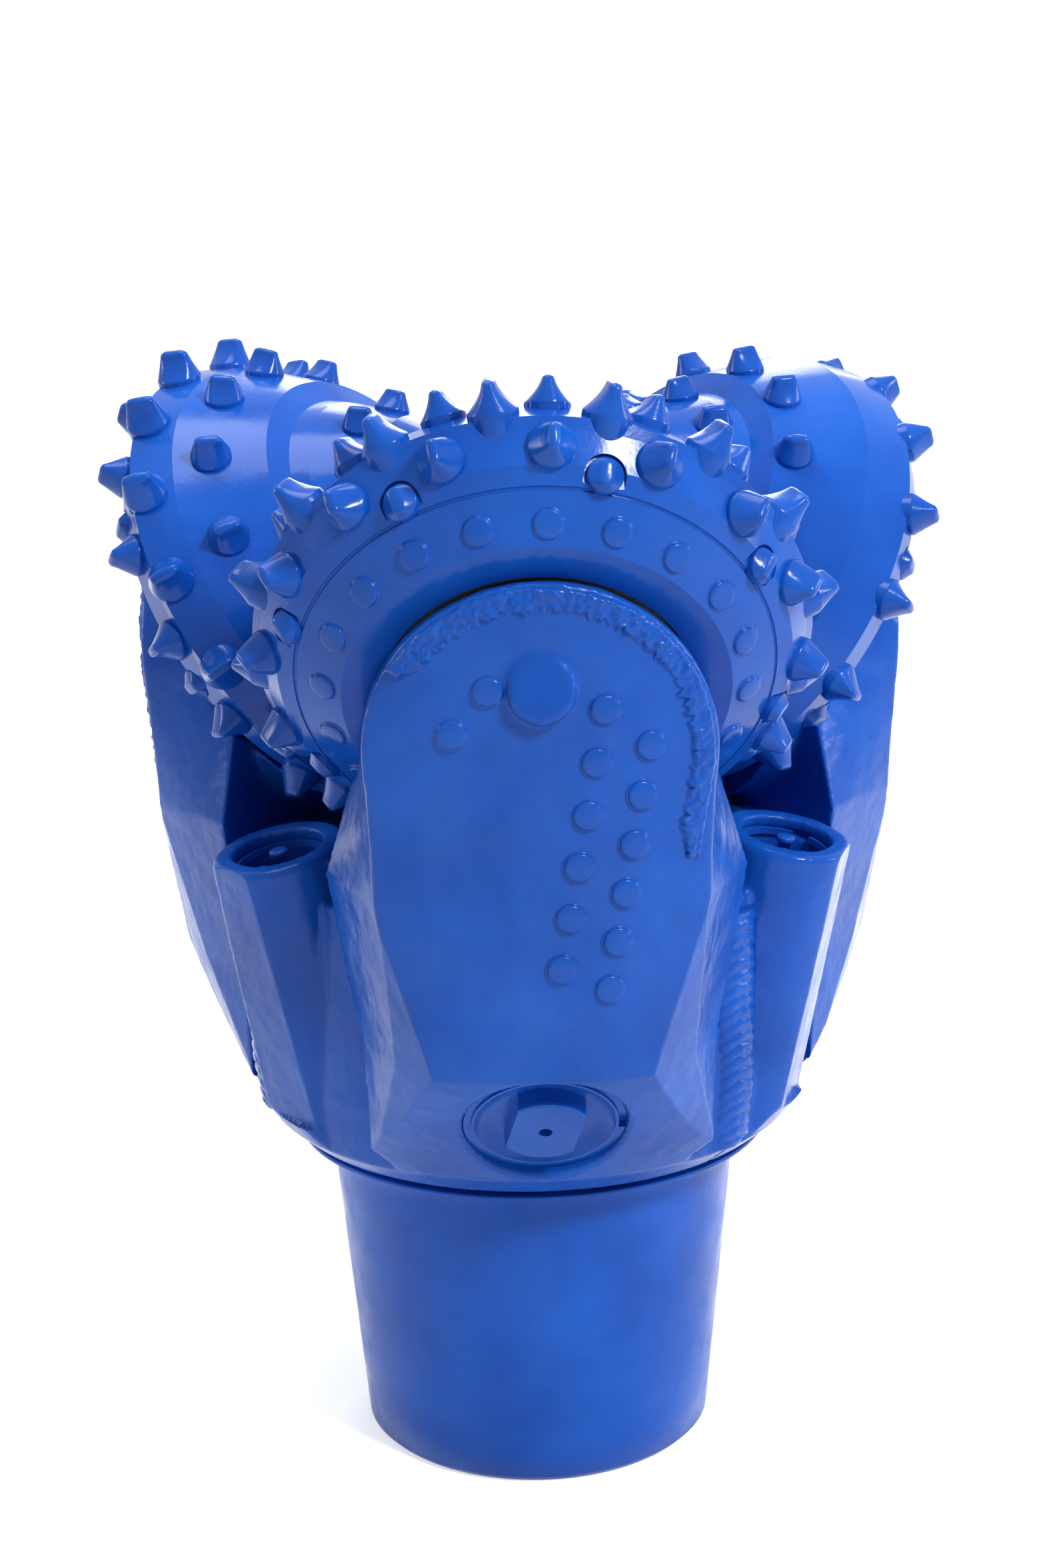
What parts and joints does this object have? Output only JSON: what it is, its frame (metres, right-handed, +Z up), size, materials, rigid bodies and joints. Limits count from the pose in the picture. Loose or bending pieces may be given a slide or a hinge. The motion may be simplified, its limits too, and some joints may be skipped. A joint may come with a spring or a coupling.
{
  "type": "tricone drill bit",
  "caption": "Rotary drilling bit with toothed cones on three welded legs, jet nozzles, grease reservoirs and a cup over its threaded pin.",
  "frame": {"origin": "centre of the bottom face of the thread protector", "axes": "+Z up the bit's axis towards the cones, -Y towards the middle of leg 1"},
  "size_m": [0.3137, 0.2976, 0.4229],
  "materials": {
    "painted_body": "glossy blue enamel over forged steel",
    "painted_cones": "glossy blue enamel over machined steel",
    "painted_inserts": "glossy blue enamel over carbide",
    "painted_protector": "glossy blue enamel over pressed steel",
    "bearing_bronze": "turned bronze",
    "bearing_steel": "ground steel",
    "carbide": "sintered carbide",
    "seal_rubber": "matt black rubber"
  },
  "bodies": {
    "bit_body": {"ball_plugs": "painted_body", "ball_retainers": "bearing_steel", "grease_cups": "bearing_steel", "leg_1": "painted_body", "leg_2": "painted_body", "leg_3": "painted_body", "leg_compacts": "painted_inserts", "leg_hardfacing": "painted_body", "nozzle_plugs": "painted_body", "nozzle_seals": "seal_rubber", "nozzle_snap_rings": "bearing_steel", "nozzles": "carbide", "reservoir_caps": "painted_body", "reservoir_diaphragms": "seal_rubber", "reservoir_snap_rings": "painted_body", "seal_rings": "seal_rubber", "thrust_washers": "bearing_bronze", "weld_seams": "painted_body"},
    "cone_1": {"cone_1_crest_row": "painted_inserts", "cone_1_gauge_row": "painted_inserts", "cone_1_heel_compacts": "painted_inserts", "cone_1_inner_row": "painted_inserts", "cone_1_journal_bushing": "bearing_bronze", "cone_1_locking_balls": "bearing_steel", "cone_1_middle_row": "painted_inserts", "cone_1_nose_row": "painted_inserts", "cone_1_pilot_bushing": "bearing_bronze", "cone_1_shell": "painted_cones", "cone_1_trimmers": "painted_inserts"},
    "cone_2": {"cone_2_gauge_row": "painted_inserts", "cone_2_heel_compacts": "painted_inserts", "cone_2_inner_row": "painted_inserts", "cone_2_journal_bushing": "bearing_bronze", "cone_2_locking_balls": "bearing_steel", "cone_2_middle_row": "painted_inserts", "cone_2_nose_row": "painted_inserts", "cone_2_pilot_bushing": "bearing_bronze", "cone_2_shell": "painted_cones", "cone_2_trimmers": "painted_inserts"},
    "cone_3": {"cone_3_crest_row": "painted_inserts", "cone_3_gauge_row": "painted_inserts", "cone_3_heel_compacts": "painted_inserts", "cone_3_inner_row": "painted_inserts", "cone_3_journal_bushing": "bearing_bronze", "cone_3_locking_balls": "bearing_steel", "cone_3_middle_row": "painted_inserts", "cone_3_pilot_bushing": "bearing_bronze", "cone_3_shell": "painted_cones", "cone_3_trimmers": "painted_inserts"},
    "thread_protector": {"thread_protector": "painted_protector"}
  },
  "joints": [
    {"name": "cone_1_spin", "type": "hinge", "parent": "bit_body", "child": "cone_1", "pos_m": [0, 0, 0.3892], "axis": [0, -0.8434, -0.5373], "continuous": true},
    {"name": "cone_2_spin", "type": "hinge", "parent": "bit_body", "child": "cone_2", "pos_m": [0, 0, 0.3892], "axis": [0.7304, 0.4217, -0.5373], "continuous": true},
    {"name": "cone_3_spin", "type": "hinge", "parent": "bit_body", "child": "cone_3", "pos_m": [0, 0, 0.3892], "axis": [-0.7304, 0.4217, -0.5373], "continuous": true},
    {"name": "protector_slide", "type": "slide", "parent": "bit_body", "child": "thread_protector", "axis": [0, 0, -1], "range_m": [0, 0.2]}
  ]
}
